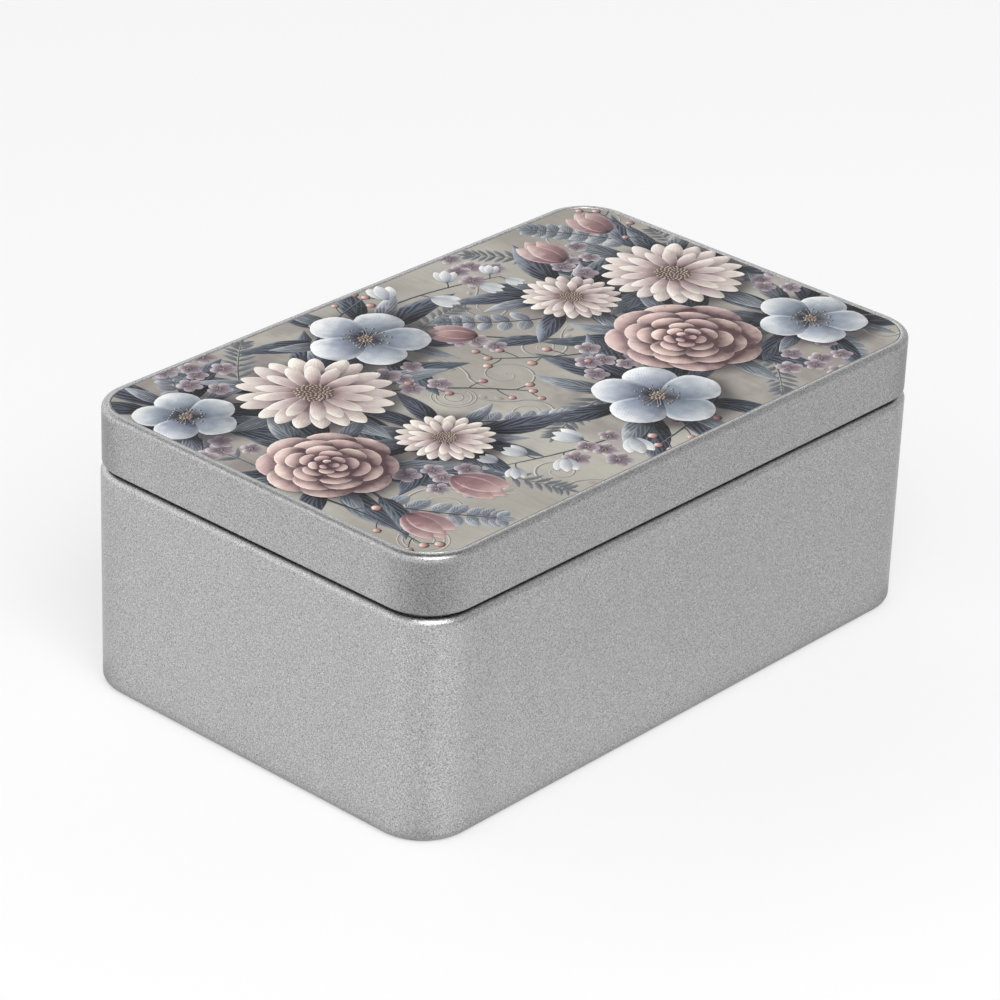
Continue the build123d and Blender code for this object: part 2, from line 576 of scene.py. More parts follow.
@dataclass(frozen=True)
class GroundPaint:
    """The print's warm grey ground, with clouds, fine scratches and a haze of colour near the sprays."""

    dark: Colour
    base: Colour
    pale: Colour
    haze: Colour
    cloud_scale: float = 22.0
    patch_scale: float = 75.0
    haze_share: float = 0.8
    scratch_scale: float = 900.0
    scratch_stretch: tuple[float, float, float] = (1.0, 0.12, 1.0)
    scratch_turn: float = 0.6
    scratch: Span = (0.95, 1.05)
    tooth_scale: float = 1300.0
    roughness: Span = (0.42, 0.50)
    specular: float = 0.12
    bump: float = 0.45

    def material(self, name: str) -> Material:
        """Builds the material under a name.

        Args:
            name: The material's name.

        Returns:
            The finished material.
        """
        surface = Surface(name)
        light = surface.add("Attribute", attribute_name="light").outputs["Fac"]
        near = surface.add("Attribute", attribute_name="tint").outputs["Fac"]
        clouds = surface.noise(self.cloud_scale, 5.0)
        clouds = surface.remap(clouds, 0.35, 0.65, 0.0, 1.0, smooth=True)
        body = surface.blend(clouds, linear(self.base), linear(self.pale))
        patches = surface.remap(surface.noise(self.patch_scale, 4.0), 0.42, 0.66, 0.0, 1.0, smooth=True)
        haze = surface.maths("MULTIPLY", surface.maths("MULTIPLY", near, patches), self.haze_share)
        body = surface.blend(haze, body, linear(self.haze))
        body = surface.blend(surface.remap(light, 0.25, 1.0, 0.0, 1.0), linear(self.dark), body)
        drawn_out = {"Vector": surface.add("TexCoord").outputs["Object"], "Scale": self.scratch_stretch,
                     "Rotation": (0.0, 0.0, self.scratch_turn)}
        scratch = surface.noise(self.scratch_scale, 3.0, surface.add("Mapping", drawn_out).outputs[0])
        scratch = surface.remap(scratch, 0.3, 0.7, *self.scratch)
        shine = surface.remap(clouds, 0.0, 1.0, *self.roughness)
        surface.shader.inputs["Specular IOR Level"].default_value = self.specular
        tooth = surface.noise(self.tooth_scale, 3.0)
        return surface.done(surface.blend(1.0, body, scratch, "MULTIPLY"), shine, tooth, self.bump)


PRINTS = {
    "tendrils": PrintPaint((0.32, 0.30, 0.29), (0.58, 0.565, 0.54), (0.64, 0.625, 0.6), (0.9, 0.89, 0.86)),
    "stems": PrintPaint((0.06, 0.07, 0.10), (0.23, 0.25, 0.28), (0.30, 0.30, 0.32), (0.62, 0.64, 0.66)),
    "ferns": PrintPaint((0.20, 0.21, 0.24), (0.38, 0.40, 0.42), (0.50, 0.51, 0.52), (0.74, 0.75, 0.75),
                        vein=(0.3, 0.32, 0.36), chevron=3.0, depth=0.3),
    "dark_leaves": PrintPaint((0.03, 0.035, 0.06), (0.14, 0.17, 0.23), (0.27, 0.3, 0.36), (0.66, 0.7, 0.74),
                              vein=(0.46, 0.50, 0.55), chevron=7.0, depth=0.5, rim=0.15),
    "pale_leaves": PrintPaint((0.1, 0.12, 0.16), (0.33, 0.36, 0.41), (0.54, 0.57, 0.6), (0.86, 0.88, 0.89),
                              vein=(0.70, 0.72, 0.74), chevron=7.0, depth=0.4, rim=0.25),
    "daisies": PrintPaint((0.33, 0.25, 0.27), (0.70, 0.58, 0.58), (0.93, 0.90, 0.85), (1.0, 0.99, 0.97),
                          vein=(0.70, 0.66, 0.63), fan=5.0, depth=0.35, rim=0.25),
    "camellias": PrintPaint((0.30, 0.19, 0.21), (0.70, 0.52, 0.52), (0.91, 0.80, 0.76), (1.0, 0.95, 0.92),
                            vein=(0.76, 0.60, 0.58), fan=13.0, depth=0.35, rim=0.5),
    "flax": PrintPaint((0.13, 0.16, 0.23), (0.50, 0.55, 0.62), (0.91, 0.92, 0.92), (1.0, 1.0, 0.99),
                       vein=(0.56, 0.60, 0.66), fan=17.0, depth=0.45, rim=0.35),
    "tulips": PrintPaint((0.20, 0.11, 0.14), (0.54, 0.38, 0.40), (0.83, 0.70, 0.67), (0.97, 0.90, 0.87),
                         vein=(0.46, 0.30, 0.33), fan=9.0, depth=0.4, rim=0.35),
    "bells": PrintPaint((0.28, 0.31, 0.37), (0.70, 0.72, 0.74), (0.94, 0.93, 0.91), (1.0, 1.0, 0.99),
                        vein=(0.62, 0.64, 0.68), fan=5.0, depth=0.3, rim=0.2),
    "specks": PrintPaint((0.20, 0.17, 0.21), (0.48, 0.42, 0.46), (0.76, 0.70, 0.72), (0.94, 0.91, 0.91),
                         vein=(0.45, 0.36, 0.45), fan=3.0, depth=0.25, rim=0.3),
    "berries": PrintPaint((0.20, 0.10, 0.12), (0.54, 0.36, 0.35), (0.68, 0.49, 0.46), (0.97, 0.88, 0.84)),
    "hearts": PrintPaint((0.05, 0.04, 0.05), (0.25, 0.19, 0.19), (0.43, 0.35, 0.31), (0.86, 0.78, 0.68)),
    "stamens": PrintPaint((0.03, 0.03, 0.06), (0.12, 0.12, 0.17), (0.38, 0.34, 0.36), (0.92, 0.88, 0.82)),
    "ground": GroundPaint(dark=(0.27, 0.255, 0.265), base=(0.62, 0.603, 0.57), pale=(0.72, 0.707, 0.668),
                          haze=(0.47, 0.41, 0.43)),
}


class Tier(Enum):
    """Heights of the print's layers above the plate, in millimetres."""

    GROUND = 0.004
    SCROLL = 0.008
    FERN = 0.013
    STEM = 0.029
    LOW_LEAF = 0.035
    HIGH_LEAF = 0.047
    BERRY_STEM = 0.0585
    SPECK = 0.0635
    HIGH_SPECK = 0.06725
    BERRY = 0.073
    SMALL = 0.0765
    LOW_BLOOM = 0.0845
    MID_BLOOM = 0.0995
    HIGH_BLOOM = 0.115


@dataclass(frozen=True)
class Outline:
    """The print's rounded outline on the plate, in millimetres from the middle."""

    half_length: float = 97.03
    half_width: float = 61.28
    corner: float = 12.0
    cuts: int = 32

    def outside(self, place: Vector) -> bool:
        """Says whether a place lies outside the outline."""
        past_x = abs(place.x) - self.half_length + self.corner
        past_y = abs(place.y) - self.half_width + self.corner
        return math.hypot(max(0.0, past_x), max(0.0, past_y)) > self.corner

    def trim(self, sheet: bmesh.types.BMesh) -> None:
        """Cuts off what reaches past the outline, by planes that touch it all the way round.

        Args:
            sheet: The relief, in metres.
        """
        for cut in range(self.cuts):
            angle = math.tau * cut / self.cuts
            way = Vector((math.cos(angle), math.sin(angle), 0.0))
            middle = Vector((math.copysign(self.half_length - self.corner, way.x),
                             math.copysign(self.half_width - self.corner, way.y), 0.0))
            everything = sheet.verts[:] + sheet.edges[:] + sheet.faces[:]
            bmesh.ops.bisect_plane(sheet, geom=everything, plane_co=(middle + way * self.corner) * MM,
                                   plane_no=way, clear_outer=True)


@dataclass(frozen=True)
class Cover:
    """A blossom as the things under it see it: a round patch that shades them, slid away from the light."""

    place: Vector
    radius: float
    lift: float

    DROP = Vector((1.2, -2.4))
    SPREAD = 3.6
    STRENGTH = 0.66

    def light_left(self, place: Vector) -> float:
        """Says how much light is left at a place in the plate's plane, from 0 to 1."""
        past = max(0.0, (place - self.place - self.DROP).length - self.radius)
        return 1.0 - self.STRENGTH * math.exp(-(past / self.SPREAD) ** 2)


class Ink:
    """One colour family of the print: a thin relief that blades, strokes and beads are laid into.

    Every vertex carries two values: light, the painted light and shade from 0 to 1, and tint, a number
    from 0 to 1 that is one for a whole petal or leaf. Places are in millimetres from the plate's middle, and
    lifts in millimetres above the plate.
    """

    LIGHT_FROM = Vector((-0.55, 0.83))
    BATCH = 1500
    BEAD_SEGMENTS = 8
    BEAD_RINGS = 4
    BEAD_LEVEL = 0.45
    BEAD_SIDE = 0.5
    BEAD_TOP = 0.2

    def __init__(self, name: str, plate_top: float, outline: Outline, covers: list[Cover]) -> None:
        """Starts an empty relief.

        Args:
            name: The piece's name.
            plate_top: Height of the plate's upper face, in metres.
            outline: The print's outline, past which nothing is left.
            covers: The blossoms that shade what lies under them.
        """
        self.name = name
        self.plate_top = plate_top
        self.outline = outline
        self.covers = covers
        self.stored: list[bpy.types.Mesh] = []
        self.open_batch()

    def open_batch(self) -> None:
        """Starts the small mesh that the next blades go in, as a large one makes every operator slow."""
        self.sheet = bmesh.new()
        self.sheet.loops.layers.uv.new("print")
        self.light = self.sheet.verts.layers.float.new("light")
        self.tint = self.sheet.verts.layers.float.new("tint")
        self.reaches_out = False

    def close_batch(self) -> None:
        """Trims the present small mesh to the print's outline and stores it."""
        if self.reaches_out:
            self.outline.trim(self.sheet)
        bmesh.ops.remove_doubles(self.sheet, verts=self.sheet.verts, dist=1e-7)
        mesh = bpy.data.meshes.new(self.name)
        self.sheet.to_mesh(mesh)
        self.sheet.free()
        self.stored.append(mesh)

    def make_room(self) -> None:
        """Stores the present small mesh if it has grown too large."""
        if len(self.sheet.verts) > self.BATCH:
            self.close_batch()
            self.open_batch()

    def put(self, vert: bmesh.types.BMVert, place: Vector, lift: float, light: float, tint: float) -> None:
        """Moves a vertex to its place on the plate and gives it its two values.

        Args:
            vert: The vertex.
            place: Its place.
            lift: Its height.
            light: Painted light there, before other blossoms shade it.
            tint: The blade's own tint.
        """
        for cover in self.covers:
            if cover.lift > lift:
                light *= cover.light_left(place)
        self.reaches_out = self.reaches_out or self.outline.outside(place)
        vert.co = (place.x * MM, place.y * MM, self.plate_top + lift * MM)
        vert[self.light] = min(1.0, max(0.0, light))
        vert[self.tint] = tint

    def ribbon(self, path: list[Vector], half: Callable[[float], float], light: Callable[..., float],
               lift: float, tint: float, across: int = 2, notch: float = 0.0) -> None:
        """Lays a grid along a path, as wide as a formula says.

        Args:
            path: Points of the middle line.
            half: Half the width in millimetres at a share of the length from 0 to 1.
            light: Painted light, from the place across (-1 to 1), the share of the length and the
                directions ahead and to the right.
            lift: Its height.
            tint: Its tint.
            across: Number of faces across.
            notch: Depth of a dent in the middle of the tip, in millimetres; below 0 it is a point.
        """
        self.make_room()
        last = len(path) - 1
        made = bmesh.ops.create_grid(self.sheet, x_segments=across, y_segments=last, size=1.0,
                                     calc_uvs=True)
        for number, vert in enumerate(made["verts"]):
            row, column = divmod(number, across + 1)
            side = 2 * column / across - 1
            share = row / last
            ahead = (path[min(row + 1, last)] - path[max(row - 1, 0)]).normalized()
            right = Vector((ahead.y, -ahead.x))
            dent = notch * (1 - abs(side)) ** 1.5 * share ** 5
            place = path[row] + right * side * half(share) - ahead * dent
            self.put(vert, place, lift, light(side, share, ahead, right), tint)

    def bead(self, place: Vector, radius: float, lift: float, height: float, tint: float) -> None:
        """Adds a low round bead, lit like a ball.

        Args:
            place: Its middle.
            radius: Its radius, in millimetres.
            lift: Height of its foot.
            height: Its own height, in millimetres.
            tint: Its tint.
        """
        self.make_room()
        made = bmesh.ops.create_uvsphere(self.sheet, u_segments=self.BEAD_SEGMENTS,
                                         v_segments=self.BEAD_RINGS, radius=1.0, calc_uvs=True)
        for vert in made["verts"]:
            ball = vert.co.copy()
            light = (self.BEAD_LEVEL + self.BEAD_SIDE * ball.xy.dot(self.LIGHT_FROM)
                     + self.BEAD_TOP * ball.z)
            self.put(vert, place + ball.xy * radius, lift + height * (ball.z + 1) / 2, light, tint)

    def finish(self, material: Material) -> None:
        """Turns the relief into a piece that rides on the lid.

        Args:
            material: The piece's material.
        """
        self.close_batch()
        whole = bmesh.new()
        for part in self.stored:
            whole.from_mesh(part)
            bpy.data.meshes.remove(part)
        mesh = bpy.data.meshes.new(self.name)
        whole.to_mesh(mesh)
        whole.free()
        mesh.shade_smooth()
        mesh.materials.append(material)
        piece = bpy.data.objects.new(self.name, mesh)
        bpy.context.scene.collection.objects.link(piece)
        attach(piece, "lid")
        LOG.info("made %s with %d faces", self.name, len(mesh.polygons))


def heading(degrees: float) -> Vector:
    """Turns an angle from the X axis into a direction in the plate's plane."""
    return Vector((math.cos(math.radians(degrees)), math.sin(math.radians(degrees))))


def bearing(way: Vector) -> float:
    """Turns a direction in the plate's plane into an angle from the X axis, in degrees."""
    return math.degrees(math.atan2(way.y, way.x))


def curve(start: Vector, end: Vector, bend: float, steps: int) -> list[Vector]:
    """Lays points along a curve that leaves its chord by an angle and comes back to it.

    Args:
        start: Its first point.
        end: Its last point.
        bend: Angle between the chord and the curve at its start, in degrees, to the left where positive.
        steps: Number of steps.

    Returns:
        The points, closer together near the end.
    """
    chord = end - start
    first = start + (Matrix.Rotation(math.radians(bend), 2) @ chord) / 3
    second = end - (Matrix.Rotation(math.radians(-0.6 * bend), 2) @ chord) / 3
    points = []
    for step in range(steps + 1):
        s = math.sin(math.pi / 2 * step / steps)
        r = 1 - s
        points.append(start * r ** 3 + first * 3 * r * r * s + second * 3 * r * s * s + end * s ** 3)
    return points


@dataclass(frozen=True)
class Blade:
    """The form of a petal or a leaf.

    Width and root are shares of its length, peak is where along it the width is greatest, and full sets how
    round it is. Arch and cup are the painted roundness across and along it, and gloom is how dark it is
    where it comes out from under what covers its root.
    """

    width: float = 0.4
    peak: float = 0.55
    full: float = 0.7
    root: float = 0.0
    notch: float = 0.0
    wave: float = 0.0
    arch: float = 0.5
    cup: float = 0.35
    gloom: float = 0.5
    across: int = 4
    along: int = 9

    WAVES = 11
    MEAN_LIGHT = 0.62
    LIGHT_SPREAD = 0.05
    ROUNDING = 0.5
    GLOOM_REACH = 0.16

    def lay(self, ink: Ink, start: Vector, angle: float, length: float, lift: float, chance: Random,
            bend: float = 0.0, cover: float = 0.0, tint: float | None = None) -> None:
        """Lays one blade.

        Args:
            ink: The relief that it goes in.
            start: Its root.
            angle: Its direction, in degrees from the X axis.
            length: Its length, in millimetres.
            lift: Its height.
            chance: The source of its small irregularities.
            bend: How much it bends, in degrees.
            cover: The share of its length that other things hide.
            tint: Its tint, or None for a random one.
        """
        power = math.log(0.5) / math.log(self.peak)
        phase = chance.uniform(0, math.tau)
        level = chance.uniform(-self.LIGHT_SPREAD, self.LIGHT_SPREAD)

        def half(share: float) -> float:
            """Half the width at a share of the steps along the blade.

            Args:
                share: The share, from 0 to 1.

            Returns:
                Half the width, in millimetres.
            """
            s = math.sin(math.pi / 2 * share)
            bow = math.sin(math.pi * min(1.0, s) ** power)
            ruffle = 1 + self.wave * math.sin(self.WAVES * s + phase)
            shape = max(0.0, bow) ** self.full * ruffle + self.root * (1 - s) ** 2
            return length * self.width / 2 * shape

        def light(side: float, share: float, ahead: Vector, right: Vector) -> float:
            """Painted light at a place on the blade.

            Args:
                side: The place across, from -1 to 1.
                share: The share of the steps along it, from 0 to 1.
                ahead: The direction ahead.
                right: The direction to the right.

            Returns:
                The light, about 0 to 1.
            """
            s = math.sin(math.pi / 2 * share)
            facing = right * self.arch * side + ahead * self.cup * (2 * s - 1)
            depth = self.gloom * math.exp(-max(0.0, s - cover) / self.GLOOM_REACH)
            return self.MEAN_LIGHT + level + self.ROUNDING * facing.dot(ink.LIGHT_FROM) - depth

        path = curve(start, start + heading(angle) * length, bend, self.along)
        shade = chance.random() if tint is None else tint
        ink.ribbon(path, half, light, lift, shade, self.across, self.notch * length)


LONG_PETAL = Blade(width=0.27, peak=0.68, full=0.55, root=0.10, notch=0.05, arch=0.55, cup=0.25)
ROUND_PETAL = Blade(width=0.78, peak=0.70, full=0.50, notch=0.07, wave=0.02, arch=0.38, cup=0.42,
                    gloom=0.62, across=6)
BROAD_PETAL = Blade(width=0.84, peak=0.64, full=0.60, root=0.10, notch=0.08, wave=0.03, cup=0.42,
                    gloom=0.62, across=8, along=10)
TINY_PETAL = Blade(width=0.80, peak=0.62, full=0.50, arch=0.4, cup=0.3, gloom=0.3, across=2, along=5)
LANCE_LEAF = Blade(width=0.30, peak=0.42, full=0.95, wave=0.03, arch=0.62, cup=0.15, gloom=0.4, across=6,
                   along=12)
OVAL_LEAF = Blade(width=0.66, peak=0.50, full=0.62, arch=0.45, cup=0.3, gloom=0.25, along=7)
LEAFLET = Blade(width=0.30, peak=0.45, full=0.85, arch=0.4, cup=0.2, gloom=0.2, across=2, along=5)
CUP_PETAL = Blade(width=0.46, peak=0.50, full=0.75, root=0.10, arch=0.55, cup=0.25, across=6)
BELL_PETAL = Blade(width=0.42, root=0.22, notch=-0.08, cup=0.3, gloom=0.4)


@dataclass(frozen=True)
class Ring:
    """One ring of petals: how many, how far out they reach and how much of them the next ring hides."""

    count: int
    reach: float
    cover: float
    blade: Blade


class Kind(Enum):
    """The blossoms seen from the front."""

    DAISY = "daisy"
    CAMELLIA = "camellia"
    FLAX = "flax"
    SPECK = "speck"


RINGS = {
    Kind.DAISY: (Ring(21, 1.0, 0.50, LONG_PETAL), Ring(14, 0.76, 0.30, LONG_PETAL)),
    Kind.CAMELLIA: (Ring(8, 1.0, 0.74, ROUND_PETAL), Ring(8, 0.78, 0.72, ROUND_PETAL),
                    Ring(6, 0.60, 0.68, ROUND_PETAL), Ring(5, 0.43, 0.62, ROUND_PETAL),
                    Ring(5, 0.28, 0.50, ROUND_PETAL), Ring(3, 0.15, 0.30, ROUND_PETAL)),
    Kind.FLAX: (Ring(5, 1.0, 0.16, BROAD_PETAL),),
    Kind.SPECK: (Ring(5, 1.0, 0.20, TINY_PETAL),),
}


@dataclass(frozen=True)
class Seeds:
    """The beads in a blossom's middle.

    Share is the middle's radius as a share of the blossom's. A bead's radius is fixed, or grows with the
    blossom's diameter. Sizes is by how much radii differ, and tints by how much tints do.
    """

    share: float
    count: int
    radius: float = 0.0
    growth: float = 0.0
    height: float = 0.006
    sizes: Span = (0.85, 1.15)
    tints: float = 0.2


HEARTS = {
    Kind.DAISY: Seeds(0.23, 70, growth=0.62 / 42),
    Kind.FLAX: Seeds(0.12, 18, 0.6),
    Kind.SPECK: Seeds(0.14, 3, 0.42, height=0.002),
}


@dataclass(frozen=True)
class Blossom:
    """One blossom seen from the front: its middle and diameter in millimetres, its turn in degrees, and how
    far it lies above its tier."""

    kind: Kind
    x: float
    y: float
    size: float
    turn: float
    tier: Tier
    extra: float = 0.0

    LEVELS = 3
    SWING = 3
    BEND = 7
    LENGTHS = (0.95, 1.0)

    @property
    def place(self) -> Vector:
        """Its middle in the plate's plane."""
        return Vector((self.x, self.y))

    def petals(self, ink: Ink, chance: Random) -> None:
        """Lays its rings of petals, the outermost one lowest, each petal above one of its neighbours.

        Args:
            ink: The relief that they go in.
            chance: The source of small irregularities.
        """
        for number, ring in enumerate(RINGS[self.kind]):
            for petal in range(ring.count):
                angle = self.turn + (petal + number / 2) * 360 / ring.count
                angle += chance.uniform(-self.SWING, self.SWING)
                length = self.size / 2 * ring.reach * chance.uniform(*self.LENGTHS)
                level = self.LEVELS * number + petal % self.LEVELS
                lift = self.tier.value + self.extra + level * STEP
                bend = chance.uniform(-self.BEND, self.BEND)
                ring.blade.lay(ink, self.place, angle, length, lift, chance, bend, ring.cover)

    def heart(self, ink: Ink, chance: Random) -> None:
        """Fills its middle with beads set as seeds are.

        Args:
            ink: The relief that they go in.
            chance: The source of small irregularities.
        """
        seeds = HEARTS[self.kind]
        lift = self.tier.value + self.extra + self.LEVELS * len(RINGS[self.kind]) * STEP
        for bead in range(seeds.count):
            share = bead / seeds.count
            out = self.size / 2 * seeds.share * math.sqrt((bead + 0.5) / seeds.count)
            place = self.place + heading(bead * GOLDEN_ANGLE) * out
            radius = (seeds.radius + seeds.growth * self.size) * chance.uniform(*seeds.sizes)
            ink.bead(place, radius, lift, seeds.height, min(1.0, share + chance.uniform(0, seeds.tints)))


@dataclass(frozen=True)
class Pen:
    """How a line is drawn: its width in millimetres where it starts, and the share of that at its end."""

    thick: float
    thin: float = 0.35

    LEVEL = 0.55
    SIDE = 0.6

    def trace(self, ink: Ink, path: list[Vector], lift: float, chance: Random) -> None:
        """Lays a rounded, tapering line along points, lit from one side.

        Args:
            ink: The relief that it goes in.
            path: The points along its middle.
            lift: Its height.
            chance: The source of its tint.
        """
        ink.ribbon(
            path, lambda share: self.thick / 2 * (1 - (1 - self.thin) * share),
            lambda side, share, ahead, right: self.LEVEL + self.SIDE * side * right.dot(ink.LIGHT_FROM),
            lift, chance.random())


@dataclass(frozen=True)
class Stalk:
    """A stalk between two places, in millimetres, and its bend in degrees.

    Count is how many bells, berries or pairs of leaves it carries, and size the length of the largest leaf
    or of the flower, in millimetres.
    """

    start: Span
    end: Span
    bend: float
    count: int
    size: float = 0.0


@dataclass(frozen=True)
class Curl:
    """A curled tendril: its middle and radius in millimetres, where it starts in degrees, and which way it
    runs, as 1 or -1."""

    x: float
    y: float
    radius: float
    start: float
    way: int

    STEPS = 59
    SWEEP = 620.0
    TAPER = 0.8

    def path(self) -> list[Vector]:
        """Lays points along it, from its outer end to its middle.

        Returns:
            The points.
        """
        points = []
        for step in range(self.STEPS + 1):
            share = step / self.STEPS
            out = self.radius * (1 - share) ** self.TAPER
            turn = self.start + self.way * self.SWEEP * share
            points.append(Vector((self.x, self.y)) + heading(turn) * out)
        return points


@dataclass
class Artwork:
    """The print on the lid's plate: two sprays of garden flowers at opposite corners, with curled tendrils
    in the open ground between them.

    Sizes are in millimetres and angles in degrees, either way where they are random. Petals are listed by
    lean, share of the length and bend. Leaves, stalks and specks take turns at a number of levels within
    their tier, a fine step apart, so that no two that meet lie at one height.
    """

    plate_top: float
    outline: Outline = Outline()
    cell: float = 1.5
    fine_step: float = 0.0003
    leaf_levels: int = 37
    stalk_levels: int = 13
    speck_levels: int = 3
    seed: int = 41
    cover_share: float = 0.42
    haze_fall: float = 1.5
    tendril: Pen = Pen(0.9)
    tail: float = 1.7
    tail_angle: float = 70
    tail_bend: float = 35
    buds: Span = (0.35, 0.7)
    bud: float = 0.4
    bud_turn: float = 55
    bud_bend: float = 15
    hoop: Pen = Pen(0.5, 1.0)
    hoop_lines: tuple[float, ...] = (1.0, 0.8, 0.42)
    leaf_scatter: float = 0.25
    leaf_root: float = 0.3
    leaf_tuck: float = 0.2
    leaf_cover: float = 0.25
    leaf_swing: float = 14
    leaf_bend: float = 26
    sprig_pen: Pen = Pen(0.7)
    sprig_taper: float = 0.55
    sprig_tip: float = 0.5
    sprig_swing: float = 6
    sprig_bend: float = 14
    tulip_pen: Pen = Pen(1.1, 0.6)
    tulip_overlap: float = 0.6
    tulip_petals: tuple[tuple[float, float, float], ...] = (
        (-4, 1.0, 8), (15, 0.93, 18), (-15, 0.93, -18), (1, 0.86, 0),
    )
    clasp: float = 24
    clasp_bend: float = 18
    clasp_length: float = 1.5
    bell_pen: Pen = Pen(0.9)
    bell_size: float = 9.5
    bell_taper: float = 4.5
    bell_angle: float = 62
    bell_neck: float = 0.42
    bell_petals: tuple[tuple[float, float, float], ...] = ((-21, 0.95, -10), (21, 0.95, 10), (0, 1.0, 0))
    neck_pen: Pen = Pen(0.45, 0.8)
    neck_bend: float = 20
    berry_pen: Pen = Pen(0.8)
    berry_radii: Span = (1.15, 1.6)
    berry_height: float = 0.003
    last_berry: float = 1.4
    twig_pen: Pen = Pen(0.4, 0.7)
    twig_lengths: Span = (4.5, 7.0)
    twig_angle: float = 48
    twig_bend: float = 18
    speck_gap: float = 4.6
    speck_sizes: Span = (6.5, 9.0)
    stamen_pen: Pen = Pen(0.34, 0.6)
    stamens_each: int = 22
    stamen_swing: float = 6
    stamen_bend: float = 12
    stamen_reach: Span = (0.24, 0.38)
    stamen_beads: Span = (0.36, 0.5)
    stamen_height: float = 0.008
    blossoms: tuple[Blossom, ...] = (
        Blossom(Kind.CAMELLIA, 47, -20, 45, 10, Tier.HIGH_BLOOM),
        Blossom(Kind.DAISY, 77, 10, 42, 5, Tier.MID_BLOOM),
        Blossom(Kind.FLAX, 14, -39, 37, 52, Tier.MID_BLOOM),
        Blossom(Kind.FLAX, 82, -36, 33, 20, Tier.LOW_BLOOM),
        Blossom(Kind.DAISY, 44, 19, 29, 0, Tier.LOW_BLOOM),
        Blossom(Kind.DAISY, -51, 25, 44, 8, Tier.HIGH_BLOOM),
        Blossom(Kind.CAMELLIA, -78, -7, 38, 0, Tier.MID_BLOOM),
        Blossom(Kind.FLAX, -17, 39, 36, 28, Tier.MID_BLOOM),
        Blossom(Kind.DAISY, -45, -17, 27, 0, Tier.LOW_BLOOM),
        Blossom(Kind.FLAX, -85, 38, 29, 64, Tier.LOW_BLOOM),
    )
    speck_groups: tuple[tuple[float, float, int], ...] = (
        (64, -54, 7), (20, -14, 6), (92, -10, 5), (62, 36, 6), (-28, 15, 6), (-66, 54, 7), (-62, -32, 6),
        (-92, 18, 4), (38, 52, 5), (-20, -50, 5), (4, 18, 3),
    )
    curls: tuple[Curl, ...] = (
        Curl(-6, -2, 10, 150, 1), Curl(14, 3, 7, 330, -1), Curl(-18, -22, 7.5, 60, -1),
        Curl(72, 46, 9, 210, 1), Curl(-74, -42, 10, 20, 1), Curl(-38, -50, 7, 250, -1),
        Curl(22, 30, 7, 100, 1), Curl(92, -54, 6, 120, 1),
    )
    hoops: tuple[tuple[float, float, float], ...] = ((-26, -2, 6), (90, 50, 6.5), (-90, -52, 6.5))
    tulip_stalks: tuple[Stalk, ...] = (
        Stalk((62, 6), (60, 37), 14, 1, 17), Stalk((78, 18), (85, 42), -14, 1, 16),
        Stalk((-68, -12), (-60, -34), 14, 1, 17), Stalk((-78, -18), (-83, -40), -12, 1, 16),
        Stalk((34, -6), (6, 20), 16, 1, 14),
    )
    bell_stalks: tuple[Stalk, ...] = (Stalk((-8, 48), (40, 42), 20, 6), Stalk((4, -46), (-46, -38), 20, 6))
    berry_stalks: tuple[Stalk, ...] = (
        Stalk((30, -12), (-2, 8), 18, 5), Stalk((-42, 15), (-8, -14), 20, 5),
        Stalk((90, 24), (94, 54), 10, 4), Stalk((-92, -20), (-92, -54), 12, 4),
        Stalk((-30, 46), (2, 58), 12, 5), Stalk((25, -50), (-8, -58), 8, 5),
    )
    fern_fronds: tuple[Stalk, ...] = (
        Stalk((8, -30), (-24, -36), -20, 12, 8), Stalk((60, -36), (40, -60), 14, 9, 8),
        Stalk((90, 0), (96, 34), 10, 10, 7), Stalk((-24, 26), (16, 36), 16, 12, 8),
        Stalk((-66, 36), (-44, 60), 12, 10, 8), Stalk((-92, 4), (-95, 30), -8, 8, 7),
        Stalk((-64, -18), (-44, -58), 14, 12, 8), Stalk((66, 24), (44, 58), -14, 12, 8),
    )
    leaf_sprigs: tuple[Stalk, ...] = (
        Stalk((88, 22), (70, 58), -16, 7, 9), Stalk((-88, -20), (-68, -57), -14, 7, 9),
        Stalk((36, 12), (6, 32), 20, 6, 8), Stalk((-38, -9), (-12, -30), -20, 6, 8),
        Stalk((94, -30), (72, -60), -14, 6, 8), Stalk((-91, 28), (-72, 59), -12, 6, 8),
    )

    def __post_init__(self) -> None:
        """Starts the random draws and works out what shades what."""
        self.chance = Random(self.seed)
        self.covers = [Cover(b.place, b.size * self.cover_share, b.tier.value) for b in self.blossoms]
        self.leaf_count = 0
        self.stalk_count = 0

    def step_up(self, tier: Tier) -> float:
        """Gives the next leaf a height of its own within its tier."""
        self.leaf_count += 1
        return tier.value + self.fine_step * (self.leaf_count % self.leaf_levels)

    def stalk_up(self, tier: Tier = Tier.STEM) -> float:
        """Gives the next stalk a height of its own within its tier."""
        self.stalk_count += 1
        return tier.value + self.fine_step * (self.stalk_count % self.stalk_levels)

    def swing(self, most: float) -> float:
        """Draws a random number up to an amount either way."""
        return self.chance.uniform(-most, most)

    def line(self, ink: Ink, start: Vector, end: Vector, bend: float, pen: Pen, lift: float,
             steps: int = 16) -> list[Vector]:
        """Lays a stalk or tendril that gets thinner.

        Args:
            ink: The relief that it goes in.
            start: Its thick end.
            end: Its thin end.
            bend: How much it bends, in degrees.
            pen: How it is drawn.
            lift: Its height.
            steps: Number of steps.

        Returns:
            The points along its middle.
        """
        path = curve(start, end, bend, steps)
        pen.trace(ink, path, lift, self.chance)
        return path

    def stem(self, ink: Ink, stalk: Stalk, pen: Pen, tier: Tier = Tier.STEM,
             steps: int = 16) -> list[Vector]:
        """Lays a listed stalk at a height of its own, and returns the points along its middle."""
        start, end = Vector(stalk.start), Vector(stalk.end)
        return self.line(ink, start, end, stalk.bend, pen, self.stalk_up(tier), steps)

